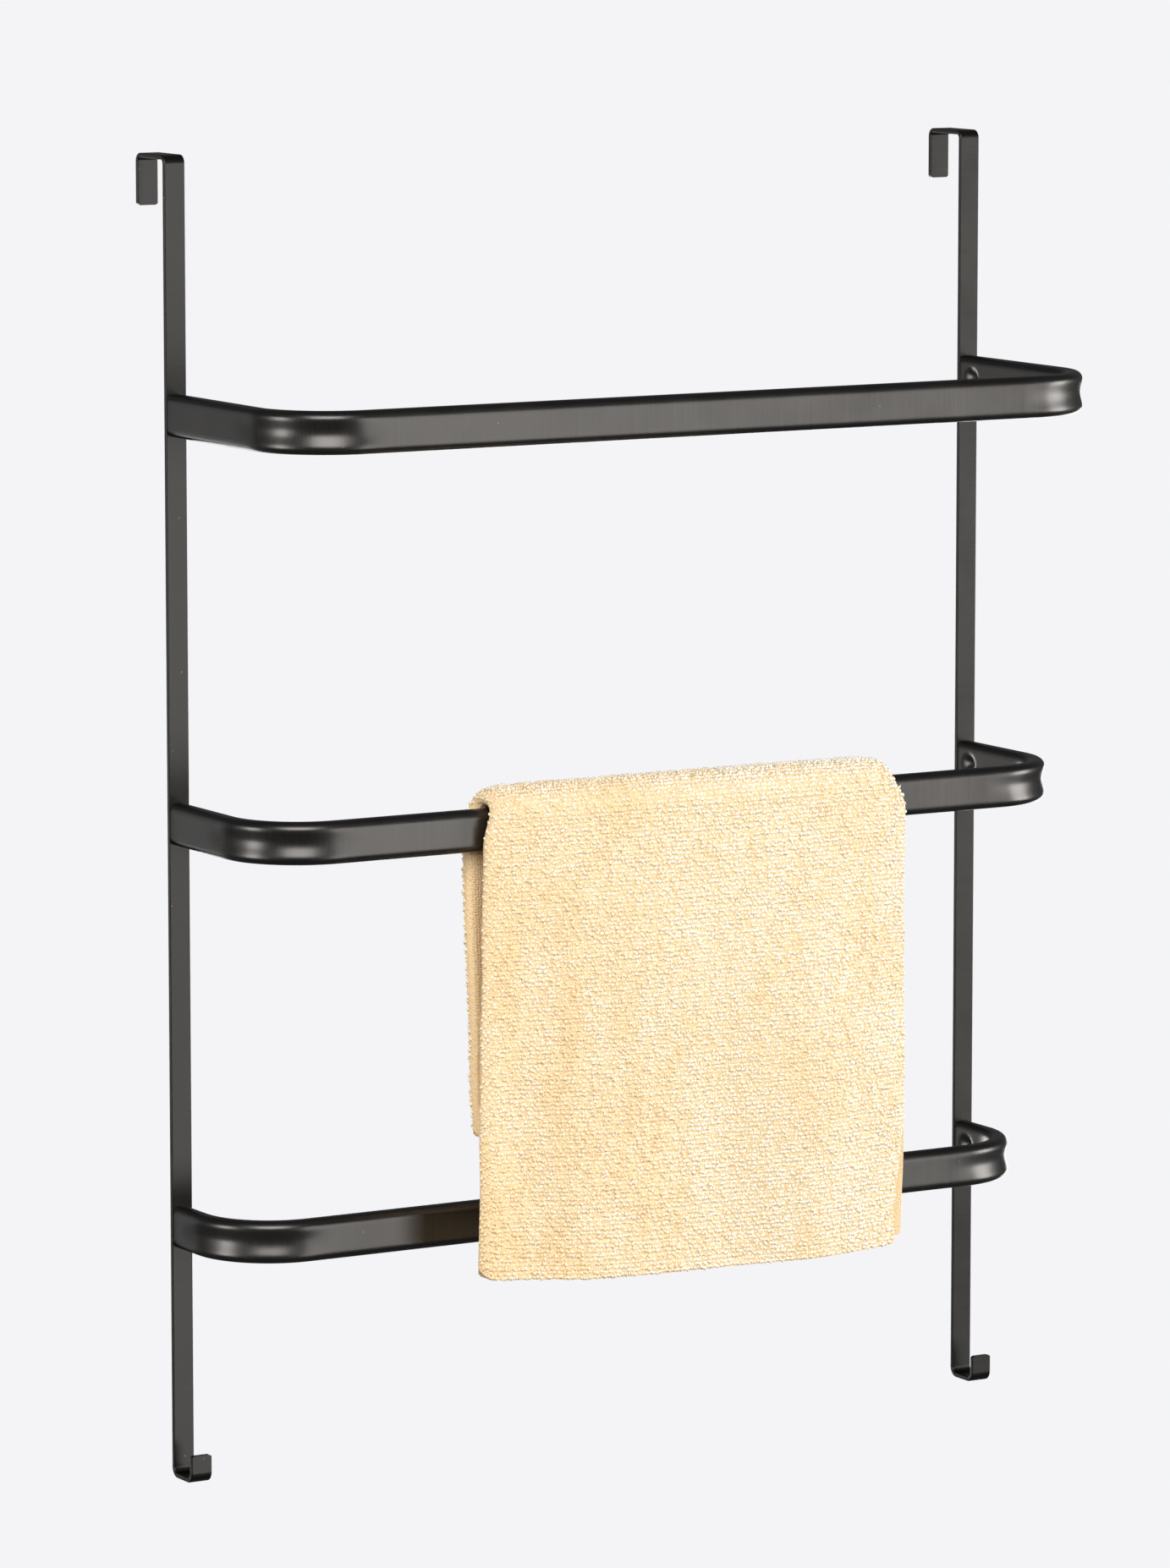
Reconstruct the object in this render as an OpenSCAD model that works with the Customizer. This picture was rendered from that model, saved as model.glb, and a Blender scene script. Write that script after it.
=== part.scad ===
// Over-the-door towel rack: two bent flat strips, three staggered tube rails
// screwed to them from behind, and a hand towel draped over the middle rail.
// Origin: middle of the door's top edge, in the plane of the door's face.
// +X along the rails, -Y away from the door, +Z up.

/* [Strips] */
// Distance between the centre lines of the two strips
strip_spacing = 492; // [360:1:640]
// Width of each strip
strip_width = 12; // [11:0.5:20]
// Thickness of each strip
strip_thickness = 2.5; // [2:0.25:4]
// Radius on the long edges of the strips
strip_edge_r = 0.6; // [0.2:0.1:0.9]
// Radius on the corners of the strips' two ends
strip_corner_r = 2; // [0.5:0.25:4]
// From the door's top edge down to the lowest point of the strips
strip_drop = 697.5; // [620:2.5:860]

/* [Door hooks] */
// Clear gap that the door's top edge goes into
door_gap = 28; // [15:1:45]
// Length of the lip behind the door, from the door's top edge down
door_lip = 25; // [12:1:60]
// Inside radius of the two bends over the door
door_bend_r = 2; // [1:0.25:4]

/* [Bottom hooks] */
// Clear gap of the small hooks at the bottom
hook_gap = 18; // [12:0.5:30]
// Height of the small hooks' lip, from the lowest point up
hook_lip = 15; // [11:0.5:30]
// Inside radius of the small hooks' bends
hook_bend_r = 3; // [1.5:0.25:5]

/* [Rails] */
// From the door's top edge down to the centre line of the top rail
first_rail_drop = 133; // [60:1:180]
// Distance between the centre lines of neighbouring rails
rail_pitch = 215; // [160:1:240]
// From the door's face to the front of the top rail
top_projection = 139; // [110:1:220]
// How much less each rail projects than the one above it
projection_step = 33.5; // [0:0.5:35]
// Outside radius of the rails' bends, in plan
rail_bend_r = 46; // [32:1:60]
// Height of the rail tube
tube_height = 22.5; // [20:0.5:30]
// Depth of the rail tube
tube_depth = 11; // [10:0.5:18]
// Radius on the tube's long edges
tube_edge_r = 4.5; // [2.5:0.25:4.75]
// Wall of the rail tube
tube_wall = 1.2; // [0.8:0.1:1.5]
// Depth of the groove that bending leaves in the outer wall
groove_depth = 1.5; // [0.5:0.1:2]
// Height of that groove
groove_height = 16.5; // [12:0.5:18]

/* [Rail ends] */
// Distance from the strip to the centre of the pressed pocket
pocket_offset = 11.5; // [11:0.5:16]
// Radius of the pocket's rim
pocket_rim_r = 7; // [5:0.25:8]
// Depth of the pocket
pocket_depth = 3; // [1.5:0.25:3.25]
// Diameter of the drain hole in the pocket
drain_hole_d = 3.2; // [2:0.1:4]
// From the pocket's centre to the drain hole, away from the strip
drain_hole_offset = 4.2; // [2:0.1:5]
// Length of the insert pressed into each tube end
insert_length = 9; // [8:0.5:12]
// Clearance between an insert and the tube around it
insert_clearance = 0.05; // [0.03:0.01:0.2]

/* [Screws] */
// Thread diameter of the screws
screw_d = 4; // [3:0.5:4]
// Length of the screws, over the countersunk head
screw_length = 9; // [8:0.5:9.5]
// Diameter of the screw heads
screw_head_d = 7.6; // [6:0.1:8]
// Radial clearance around the screws' shanks
screw_clearance = 0.1; // [0.05:0.05:0.3]
// Depth of the inserts' bores past the screws' tips
screw_tip_gap = 0.5; // [0.1:0.1:0.5]
// Width of the cross recess in the screw heads
cross_width = 3.6; // [2.5:0.1:4]
// Depth of the cross recess
cross_depth = 1.3; // [0.8:0.1:1.6]
// Thickness of the cross recess's arms
cross_arm = 0.8; // [0.5:0.1:1.2]

/* [Towel] */
// Width of the folded towel
towel_width = 256; // [150:1:270]
// Middle of the towel, along the rail from the rack's middle
towel_offset = 6; // [-20:1:20]
// Thickness of the folded towel
towel_thickness = 9; // [4:0.5:12]
// From the rail's centre line down to the front edge of the towel
towel_front_drop = 244; // [150:1:245]
// From the rail's centre line down to the back edge of the towel
towel_back_drop = 167; // [100:1:170]
// Clearance between the towel and the rail
towel_clearance = 0.8; // [0.5:0.1:2]

/* [Hidden] */
$fn = 96;

steel = "#45433f";
zinc = "#8f9194";
nylon = "#2b2b2c";
terry = "#f6d9a4";

LEFT = -1;
RIGHT = 1;
TOP = 0;
MIDDLE = 1;
BOTTOM = 2;
eps = 0.01;
// How far cutting shapes run past what they cut.
overcut = 1;

strip_x = strip_spacing / 2;
function rail_z(i) = -first_rail_drop - i * rail_pitch;
function rail_projection(i) = top_projection - i * projection_step;

// Spheres and tori that press the pockets and grooves into the tube.
pocket_r = (pocket_rim_r * pocket_rim_r + pocket_depth * pocket_depth) / (2 * pocket_depth);
groove_half = groove_height / 2;
groove_r = (groove_half * groove_half + groove_depth * groove_depth) / (2 * groove_depth);
// Shifting the groove's centre inwards lets it run out at both ends of the bend.
groove_shift = groove_depth / (1 - cos(45));

// ---- Sections and bends -------------------------------------------------

// Rectangle with rounded corners, centred.
module rounded_rect(size, r) {
    square([size[0] - 2 * r, size[1]], center = true);
    square([size[0], size[1] - 2 * r], center = true);
    for (sx = [-1, 1], sy = [-1, 1])
        translate([sx * (size[0] / 2 - r), sy * (size[1] / 2 - r)]) circle(r);
}

// Straight length of a strip. It starts at from, in the Y-Z plane, and runs at
// angle degrees from +Y towards +Z, with its thickness centred on that line.
module strip_run(from, angle, length) {
    translate([0, from[0], from[1]]) rotate([angle, 0, 0]) rotate([-90, 0, 0])
        linear_extrude(length) rounded_rect([strip_width, strip_thickness], strip_edge_r);
}

// Quarter bend of a strip about centre, from angle to angle + 90 degrees.
module strip_bend(centre, inside_r, angle) {
    translate([0, centre[0], centre[1]]) rotate([90, 0, 90]) rotate([0, 0, angle])
        rotate_extrude(angle = 90) translate([inside_r + strip_thickness / 2, 0])
            rounded_rect([strip_thickness, strip_width], strip_edge_r);
}

// Cuts the two corners at the end of a strip whose face looks along Y. The end
// is at height z and points down (dir = -1) or up (dir = 1).
module round_end(y, z, dir) {
    for (side = [-1, 1])
        translate([side * (strip_width / 2 - strip_corner_r), y, z - dir * strip_corner_r])
            difference() {
                translate([side > 0 ? 0 : -2 * strip_corner_r, -strip_thickness, dir > 0 ? 0 : -2 * strip_corner_r])
                    cube([2 * strip_corner_r, 2 * strip_thickness, 2 * strip_corner_r]);
                rotate([90, 0, 0]) cylinder(h = 3 * strip_thickness, r = strip_corner_r, center = true);
            }
}

// ---- Strips -------------------------------------------------------------

module strip_body() {
    half = strip_thickness / 2;
    top_z = half;
    face_y = -half;
    back_y = door_gap + half;
    door_mid_r = door_bend_r + half;
    hook_mid_r = hook_bend_r + half;
    low_z = -strip_drop + half;
    hook_y = -strip_thickness - hook_gap - half;
    // lip behind the door, run over the door, and the long run down its face
    strip_run([back_y, -door_lip], 90, door_lip + top_z - door_mid_r);
    strip_bend([back_y - door_mid_r, top_z - door_mid_r], door_bend_r, 0);
    strip_run([face_y + door_mid_r, top_z], 0, back_y - face_y - 2 * door_mid_r);
    strip_bend([face_y + door_mid_r, top_z - door_mid_r], door_bend_r, 90);
    strip_run([face_y, low_z + hook_mid_r], 90, top_z - door_mid_r - low_z - hook_mid_r);
    // small hook at the bottom
    strip_bend([face_y - hook_mid_r, low_z + hook_mid_r], hook_bend_r, 270);
    strip_run([hook_y + hook_mid_r, low_z], 0, face_y - hook_y - 2 * hook_mid_r);
    strip_bend([hook_y + hook_mid_r, low_z + hook_mid_r], hook_bend_r, 180);
    strip_run([hook_y, low_z + hook_mid_r], 90, hook_lip - half - hook_mid_r);
}

// Countersunk hole for a rail screw, from the back of the strip.
module screw_hole(z) {
    translate([0, 0, z]) rotate([90, 0, 0]) {
        translate([0, 0, -eps]) cylinder(h = strip_thickness + 2 * eps, r = screw_d / 2 + screw_clearance);
        screw_cone();
    }
}

// 90 degree cone of the screw heads and of the countersinks that they seat in,
// widest at the back face of the strip.
module screw_cone() {
    cylinder(h = screw_head_d / 2, r1 = screw_head_d / 2, r2 = 0);
}

module strip(side) {
    color(steel) translate([side * strip_x, 0, 0]) difference() {
        strip_body();
        round_end(door_gap + strip_thickness / 2, -door_lip, -1);
        round_end(-strip_thickness * 1.5 - hook_gap, -strip_drop + hook_lip, 1);
        for (i = [TOP, MIDDLE, BOTTOM]) screw_hole(rail_z(i));
    }
}

// ---- Rails --------------------------------------------------------------

// The tube's section swept along the rail's centre line, shrunk by inset all
// round. reach is how far the arms run past the strip's front face.
module rail_sweep(projection, inset, reach) {
    section = [tube_depth - 2 * inset, tube_height - 2 * inset];
    section_r = tube_edge_r - inset;
    bend_x = strip_x + tube_depth / 2 - rail_bend_r;
    bend_y = -projection + rail_bend_r;
    mid_r = rail_bend_r - tube_depth / 2;
    for (side = [LEFT, RIGHT]) {
        translate([side * strip_x, -strip_thickness + reach, 0]) rotate([90, 0, 0])
            linear_extrude(projection - rail_bend_r - strip_thickness + reach)
                rounded_rect(section, section_r);
        translate([side * bend_x, bend_y, 0]) rotate([0, 0, side > 0 ? 270 : 180])
            rotate_extrude(angle = 90) translate([mid_r, 0]) rounded_rect(section, section_r);
    }
    translate([-bend_x, -projection + tube_depth / 2, 0]) rotate([90, 0, 90])
        linear_extrude(2 * bend_x) rounded_rect(section, section_r);
}

// Ring that presses the groove into the outer wall of each bend, grown by skin.
module groove_rings(projection, skin) {
    bend_x = strip_x + tube_depth / 2 - rail_bend_r;
    bend_y = -projection + rail_bend_r;
    shift = groove_shift * cos(45);
    ring_r = rail_bend_r + groove_r - groove_depth + groove_shift;
    for (side = [LEFT, RIGHT])
        translate([side * (bend_x - shift), bend_y + shift, 0]) rotate([0, 0, side > 0 ? 270 : 180])
            rotate_extrude(angle = 90) translate([ring_r, 0]) circle(groove_r + skin);
}

// Balls that press the pockets into the inner walls of both arms, grown by skin.
module pocket_ball(side, skin) {
    translate([side * (strip_x - tube_depth / 2 + pocket_depth - pocket_r), -strip_thickness - pocket_offset, 0])
        sphere(pocket_r + skin);
}

module rail(i) {
    projection = rail_projection(i);
    color(steel) translate([0, 0, rail_z(i)]) difference() {
        rail_sweep(projection, 0, 0);
        difference() {
            rail_sweep(projection, tube_wall, overcut);
            groove_rings(projection, tube_wall);
            for (side = [LEFT, RIGHT]) pocket_ball(side, tube_wall);
        }
        groove_rings(projection, 0);
        for (side = [LEFT, RIGHT]) {
            pocket_ball(side, 0);
            translate([side * (strip_x - tube_depth / 2 + pocket_depth + tube_wall),
                       -strip_thickness - pocket_offset - drain_hole_offset, 0])
                rotate([0, -side * 90, 0]) cylinder(h = 2 * tube_depth, r = drain_hole_d / 2);
        }
    }
}

// Block pressed into a tube end, threaded for the screw and scooped out where
// the pocket bulges into the tube.
module insert(i, side) {
    inset = tube_wall + insert_clearance;
    color(nylon) translate([0, 0, rail_z(i)]) difference() {
        translate([side * strip_x, -strip_thickness, 0]) rotate([90, 0, 0])
            linear_extrude(insert_length)
                rounded_rect([tube_depth - 2 * inset, tube_height - 2 * inset], tube_edge_r - inset);
        pocket_ball(side, tube_wall + insert_clearance);
        translate([side * strip_x, eps, 0]) rotate([90, 0, 0])
            cylinder(h = screw_length + screw_tip_gap + eps, r = screw_d / 2 + screw_clearance);
    }
}

module screw(i, side) {
    color(zinc) translate([side * strip_x, 0, rail_z(i)]) rotate([90, 0, 0]) difference() {
        union() {
            screw_cone();
            cylinder(h = screw_length, r = screw_d / 2);
        }
        for (turn = [0, 90]) rotate([0, 0, turn])
            translate([-cross_width / 2, -cross_arm / 2, -eps]) cube([cross_width, cross_arm, cross_depth + eps]);
    }
}

// ---- Towel --------------------------------------------------------------

// The tube's section, grown by skin all round, with its sides run down to drop
// below the rail's centre.
module hanging_section(skin, drop) {
    half_depth = tube_depth / 2 + skin;
    rounded_rect([2 * half_depth, tube_height + 2 * skin], tube_edge_r + skin);
    translate([-half_depth, -drop]) square([2 * half_depth, drop]);
}

// Side view of the towel over its rail, in Y-Z, with the rail's centre at 0.
module towel_outline() {
    outer_skin = towel_clearance + towel_thickness;
    difference() {
        hanging_section(outer_skin, towel_front_drop);
        hanging_section(towel_clearance, towel_front_drop + overcut);
        translate([0, -towel_front_drop - overcut])
            square([tube_depth + 2 * outer_skin, towel_front_drop + overcut - towel_back_drop]);
    }
}

module towel() {
    color(terry)
        translate([towel_offset - towel_width / 2, -rail_projection(MIDDLE) + tube_depth / 2, rail_z(MIDDLE)])
            rotate([90, 0, 90]) linear_extrude(towel_width) towel_outline();
}

strip(LEFT);  // left_strip
strip(RIGHT);  // right_strip
rail(TOP);  // top_rail
rail(MIDDLE);  // middle_rail
rail(BOTTOM);  // bottom_rail
insert(TOP, LEFT);  // top_rail_left_insert
insert(TOP, RIGHT);  // top_rail_right_insert
insert(MIDDLE, LEFT);  // middle_rail_left_insert
insert(MIDDLE, RIGHT);  // middle_rail_right_insert
insert(BOTTOM, LEFT);  // bottom_rail_left_insert
insert(BOTTOM, RIGHT);  // bottom_rail_right_insert
screw(TOP, LEFT);  // top_rail_left_screw
screw(TOP, RIGHT);  // top_rail_right_screw
screw(MIDDLE, LEFT);  // middle_rail_left_screw
screw(MIDDLE, RIGHT);  // middle_rail_right_screw
screw(BOTTOM, LEFT);  // bottom_rail_left_screw
screw(BOTTOM, RIGHT);  // bottom_rail_right_screw
towel();
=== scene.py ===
"""Over-the-door towel rack with a folded terry towel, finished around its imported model.

Everything is in metres, in the row's own frame: the origin is the middle of the door's top
edge, +X runs along the rails, -Y points away from the door and +Z is up.
"""

import math

import bmesh
import bpy
from mathutils import Matrix, Vector, noise


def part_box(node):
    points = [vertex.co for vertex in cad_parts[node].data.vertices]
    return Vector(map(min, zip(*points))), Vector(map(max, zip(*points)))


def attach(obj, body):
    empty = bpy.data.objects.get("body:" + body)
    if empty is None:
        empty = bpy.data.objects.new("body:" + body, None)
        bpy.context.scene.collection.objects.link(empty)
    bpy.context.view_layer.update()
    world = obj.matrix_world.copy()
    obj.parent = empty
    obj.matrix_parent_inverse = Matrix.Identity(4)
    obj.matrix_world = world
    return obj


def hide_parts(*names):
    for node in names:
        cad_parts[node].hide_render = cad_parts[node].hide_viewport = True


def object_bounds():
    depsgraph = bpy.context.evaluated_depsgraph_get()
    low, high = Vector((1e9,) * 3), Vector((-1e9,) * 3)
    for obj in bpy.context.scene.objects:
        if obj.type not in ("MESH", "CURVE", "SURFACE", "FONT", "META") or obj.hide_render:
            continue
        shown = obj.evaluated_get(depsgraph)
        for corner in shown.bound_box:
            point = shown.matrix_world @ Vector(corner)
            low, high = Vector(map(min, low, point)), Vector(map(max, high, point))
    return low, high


bl_info = {
    "name": "Towel Rack",
    "version": (1, 0, 0),
    "blender": (4, 5, 0),
    "location": "View3D > Sidebar > Towel Rack",
    "description": "Finishes an over-the-door towel rack and drapes a folded towel over it",
    "category": "Add Mesh",
}

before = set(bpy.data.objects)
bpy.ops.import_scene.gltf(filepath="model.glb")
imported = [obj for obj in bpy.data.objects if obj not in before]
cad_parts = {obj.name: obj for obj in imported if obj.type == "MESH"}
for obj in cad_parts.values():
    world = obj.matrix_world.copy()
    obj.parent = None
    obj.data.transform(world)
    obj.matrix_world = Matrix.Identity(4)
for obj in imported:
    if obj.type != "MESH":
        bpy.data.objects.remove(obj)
CAD_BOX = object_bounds()

MM = 0.001
RAILS = ("top_rail", "middle_rail", "bottom_rail")
STRIPS = ("left_strip", "right_strip")
SIDES = (-1, 1)


# ---- Colours, nodes and meshes ---------------------------------------------------------


def linear(colour):
    """The linear RGBA of an sRGB hex colour."""
    channels = [int(colour[i:i + 2], 16) / 255 for i in (1, 3, 5)]
    return (*[c / 12.92 if c <= 0.04045 else ((c + 0.055) / 1.055) ** 2.4 for c in channels], 1.0)


def add_node(tree, kind, settings=None, inputs=None):
    """Adds a node. Its inputs are values, or sockets that are linked."""
    node = tree.nodes.new(kind)
    for name, value in (settings or {}).items():
        setattr(node, name, value)
    for name, value in (inputs or {}).items():
        if isinstance(value, bpy.types.NodeSocket):
            tree.links.new(value, node.inputs[name])
        else:
            node.inputs[name].default_value = value
    return node


def new_material(name):
    """An empty node material, with its tree and its Principled shader."""
    material = bpy.data.materials.new(name)
    material.use_nodes = True
    tree = material.node_tree
    return material, tree, tree.nodes["Principled BSDF"]


def make_object(name, mesh):
    """Puts a mesh in the scene as an object at the origin."""
    made = bpy.data.objects.new(name, mesh)
    bpy.context.scene.collection.objects.link(made)
    return made


def baked_mesh(source, name):
    """The plain mesh that source's modifiers make."""
    graph = bpy.context.evaluated_depsgraph_get()
    mesh = bpy.data.meshes.new_from_object(source.evaluated_get(graph), depsgraph=graph)
    mesh.name = name
    return mesh


def apply_modifiers(piece):
    """Replaces a piece's mesh with what its modifiers make, and removes them."""
    mesh = baked_mesh(piece, piece.name)
    piece.modifiers.clear()
    piece.data = mesh


def remove_object(made):
    """Takes a helper object out of the file."""
    bpy.data.objects.remove(made, do_unlink=True)


def smoothstep(low, high, value):
    """0 below low, 1 above high, and a smooth step between them."""
    share = min(1.0, max(0.0, (value - low) / (high - low)))
    return share * share * (3 - 2 * share)


# ---- Settings --------------------------------------------------------------------------


def length_setting(name, description, millimetres):
    """A length property that is shown in the scene's own units."""
    return bpy.props.FloatProperty(
        name=name, description=description, default=millimetres * MM, unit="LENGTH", precision=5)


def colour_setting(name, description, colour):
    """A colour property with an sRGB hex default."""
    return bpy.props.FloatVectorProperty(
        name=name, description=description, default=linear(colour), size=4, min=0, max=1,
        subtype="COLOR")


class SteelSettings(bpy.types.PropertyGroup):
    """Colours and grain of the coated steel. The streaks and the grain are coarser than on real
    coated bar, so that they show."""

    strip_colour: colour_setting("Strip colour", "Colour of the flat strips", "#353432")
    rail_colour: colour_setting("Rail colour", "Colour of the tube rails", "#4c4a48")
    streak_spacing: length_setting("Streak spacing", "Spacing of the drawing marks", 1.1)
    grain_size: length_setting("Grain size", "Size of the coating's peel", 0.55)


class RailSettings(bpy.types.PropertyGroup):
    """Sizes of the bent tube rails."""

    edge_radius: length_setting("Edge radius", "Radius on the tube's long edges", 4.5)
    tube_depth: length_setting("Tube depth", "Front to back depth of the tube", 11)
    wall: length_setting("Wall", "Thickness of the tube's wall", 1.2)
    bend_radius: length_setting("Bend radius", "Outside radius of the bends in plan", 46)
    groove_depth: length_setting("Groove depth", "Depth of the groove at the bends", 1.5)
    groove_height: length_setting("Groove height", "Height of the groove at the bends", 17.5)
    groove_run_out: length_setting("Groove run-out", "How far the groove runs past a bend", 16)
    pocket_offset: length_setting("Pocket offset", "From the strip to the pocket", 11.5)
    pocket_radius: length_setting("Pocket radius", "Radius of the pressed pocket's rim", 7)
    pocket_depth: length_setting("Pocket depth", "Depth of the pressed pocket", 3)
    hole_radius: length_setting("Drain hole radius", "Radius of the drain hole", 1.6)
    hole_offset: length_setting("Drain hole offset", "From the pocket to the drain hole", 4.2)
    step: length_setting("Mesh step", "Length of the faces along the rail", 2)


class TowelSettings(bpy.types.PropertyGroup):
    """Sizes and colours of the folded towel. Real terry has finer loops, and more of them: these
    are as coarse as they need to be to show."""

    width: length_setting("Width", "Width of the towel before it is folded in half", 512)
    length: length_setting("Length", "Length that the towel was cut to, from hem to hem", 450)
    back_drop: length_setting("Back drop", "From the rail's middle down to the back hem", 167)
    layer: length_setting("Layer thickness", "Thickness of one layer of ground cloth", 3.6)
    fold_radius: length_setting("Fold radius", "Radius of the fold at the side, to mid layer", 2.25)
    rail_gap: length_setting("Rail gap", "From the rail to the inner layer", 1.1)
    crown: length_setting("Crown", "How far the cloth stands off the rail's top", 1.6)
    wave: length_setting("Wave", "Height of the soft waves at the hems", 5.5)
    hem_bow: length_setting("Hem bow", "How far the front hem rises towards its ends", 4.5)
    hem_corner: length_setting("Hem corner", "Radius of the hems' corners at the fold", 5.5)
    hem_step: length_setting("Hem step", "How much higher the inner layer's hems are", 3.0)
    gape: length_setting("Gape", "How far the free edges stand apart at the front", 1.6)
    cell: length_setting("Mesh cell", "Length of the cloth's faces", 3.0)
    row_spacing: length_setting("Row spacing", "Spacing of the rows of loops", 2.3)
    loop_spacing: length_setting("Loop spacing", "Spacing of the loops in a row", 1.4)
    loop_height: length_setting("Loop height", "How far the loops stand out", 1.0)
    loop_scatter: length_setting("Loop scatter", "How far a loop may be out of its place", 0.5)
    colour: colour_setting("Colour", "Colour of the yarn", "#fcdfb0")
    # The pale colour is also where the painted light takes the loops, paler away from the fold
    pale: colour_setting("Pale colour", "Colour of the most brushed yarn", "#fffbee")
    # Painted shade: the ground cloth's darker colour between the loops
    shade: colour_setting("Shade", "Colour between the loops", "#f5cf99")


class StageSettings(bpy.types.PropertyGroup):
    """Camera and lights."""

    azimuth: bpy.props.FloatProperty(
        name="Azimuth", description="Camera's turn about the rack, left of its front",
        default=math.radians(-30.3), subtype="ANGLE")
    elevation: bpy.props.FloatProperty(
        name="Elevation", description="Camera's height above the rack, as an angle",
        default=math.radians(7.93), subtype="ANGLE")
    distance: length_setting("Distance", "From the camera to the point that it aims at", 4035)
    aim_right: length_setting("Aim right", "From the rack's middle to the aim, across", 1.6)
    aim_down: length_setting("Aim down", "From the rack's top to the aim, down", 343.4)
    lens: bpy.props.FloatProperty(
        name="Lens", description="Focal length of the camera on a 36 mm sensor",
        default=173.2, unit="CAMERA")
    floor_drop: length_setting("Floor drop", "From the door's top edge down to the floor", 2000)
    tent: colour_setting("Tent", "Colour of the dim tent round the lamps", "#5c5c5e")
    backdrop: colour_setting("Backdrop", "Colour of the floor and the horizon", "#f4f4f6")


GROUPS = {
    "rack_steel": SteelSettings,
    "rack_rails": RailSettings,
    "rack_towel": TowelSettings,
    "rack_stage": StageSettings,
}


# ---- Materials -------------------------------------------------------------------------

# Size of the cloudy tones in the coating, and distance between specks of dust on it
CLOUD_SIZE = 28.6 * MM
DUST_SPACING = 9 * MM
# Length of the drawing marks. Their spacing is a setting
STREAK_LENGTH = 40 * MM
# Size of the mottle that zinc grows in, of a mould's grain, and of the fibres in terry yarn. Real
# grain is about 0.05 mm and a real cotton fibre 0.02 mm, too fine to show, so both are coarser
ZINC_MOTTLE = 1.2 * MM
MOULD_GRAIN = 0.4 * MM
YARN_FIBRE = 0.9 * MM
# Size of the patches where the pile lies one way: longer down the towel than across it
PILE_PATCH = (30 * MM, 30 * MM, 75 * MM)


def coated_steel(name, colour, streak, grain):
    """Steel under a satin metallic anthracite powder coat: a dark, slightly warm metal sheen with
    faint drawing marks, the coating's fine peel, and a few pale specks of dust. streak is the
    size of a mark along X, Y and Z. The tone varies over about 30 mm, and a speck is about
    0.4 mm across, with one in each 9 mm."""
    material, tree, shader = new_material(name)
    place = add_node(tree, "ShaderNodeTexCoord").outputs["Object"]
    marks = add_node(tree, "ShaderNodeVectorMath", {"operation": "DIVIDE"}, {0: place, 1: streak})
    streaks = add_node(tree, "ShaderNodeTexNoise", None,
                       {"Vector": marks.outputs[0], "Scale": 1.0, "Detail": 3.0, "Roughness": 0.6})
    cloud = add_node(tree, "ShaderNodeTexNoise", None,
                     {"Vector": place, "Scale": 1 / CLOUD_SIZE, "Detail": 2.0})
    both = add_node(tree, "ShaderNodeMath", {"operation": "ADD"},
                    {0: streaks.outputs[0], 1: cloud.outputs[0]})
    tone = add_node(tree, "ShaderNodeMapRange", None,
                    {"Value": both.outputs[0], "From Min": 0.6, "From Max": 1.4,
                     "To Min": 0.86, "To Max": 1.14})
    tinted = add_node(tree, "ShaderNodeVectorMath", {"operation": "SCALE"},
                      {0: tuple(colour)[:3], "Scale": tone.outputs[0]})
    dust = add_node(tree, "ShaderNodeTexVoronoi", None,
                    {"Vector": place, "Scale": 1 / DUST_SPACING, "Randomness": 1.0})
    speck = add_node(tree, "ShaderNodeMapRange", None,
                     {"Value": dust.outputs["Distance"], "From Min": 0.03, "From Max": 0.02})
    coloured = add_node(tree, "ShaderNodeMix", {"data_type": "RGBA"},
                        {0: speck.outputs[0], 6: tinted.outputs[0], 7: linear("#a8a29a")})
    tree.links.new(coloured.outputs[2], shader.inputs["Base Color"])
    gloss = add_node(tree, "ShaderNodeMapRange", None,
                     {"Value": both.outputs[0], "From Min": 0.6, "From Max": 1.4,
                      "To Min": 0.31, "To Max": 0.39})
    tree.links.new(gloss.outputs[0], shader.inputs["Roughness"])
    peel = add_node(tree, "ShaderNodeTexNoise", None,
                    {"Vector": place, "Scale": 1 / grain, "Detail": 1.0})
    relief = add_node(tree, "ShaderNodeMath", {"operation": "MULTIPLY_ADD"},
                      {0: streaks.outputs[0], 1: 0.5, 2: peel.outputs[0]})
    bump = add_node(tree, "ShaderNodeBump", None,
                    {"Height": relief.outputs[0], "Distance": 0.02 * MM, "Strength": 0.6})
    tree.links.new(bump.outputs[0], shader.inputs["Normal"])
    shader.inputs["Metallic"].default_value = 1.0
    shader.inputs["Coat Weight"].default_value = 0.15
    shader.inputs["Coat Roughness"].default_value = 0.2
    return material


def zinc_plate():
    """Steel screws under bright zinc: a pale, cool metal, mottled in tone and gloss by the
    plating bath."""
    material, tree, shader = new_material("zinc_plated_steel")
    place = add_node(tree, "ShaderNodeTexCoord").outputs["Object"]
    mottle = add_node(tree, "ShaderNodeTexNoise", None,
                      {"Vector": place, "Scale": 1 / ZINC_MOTTLE, "Detail": 4.0})
    ramp = add_node(tree, "ShaderNodeMix", {"data_type": "RGBA"},
                    {0: mottle.outputs[0], 6: linear("#8d9094"), 7: linear("#c3c6c8")})
    tree.links.new(ramp.outputs[2], shader.inputs["Base Color"])
    gloss = add_node(tree, "ShaderNodeMapRange", None,
                     {"Value": mottle.outputs[0], "To Min": 0.25, "To Max": 0.45})
    tree.links.new(gloss.outputs[0], shader.inputs["Roughness"])
    shader.inputs["Metallic"].default_value = 1.0
    return material


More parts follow.
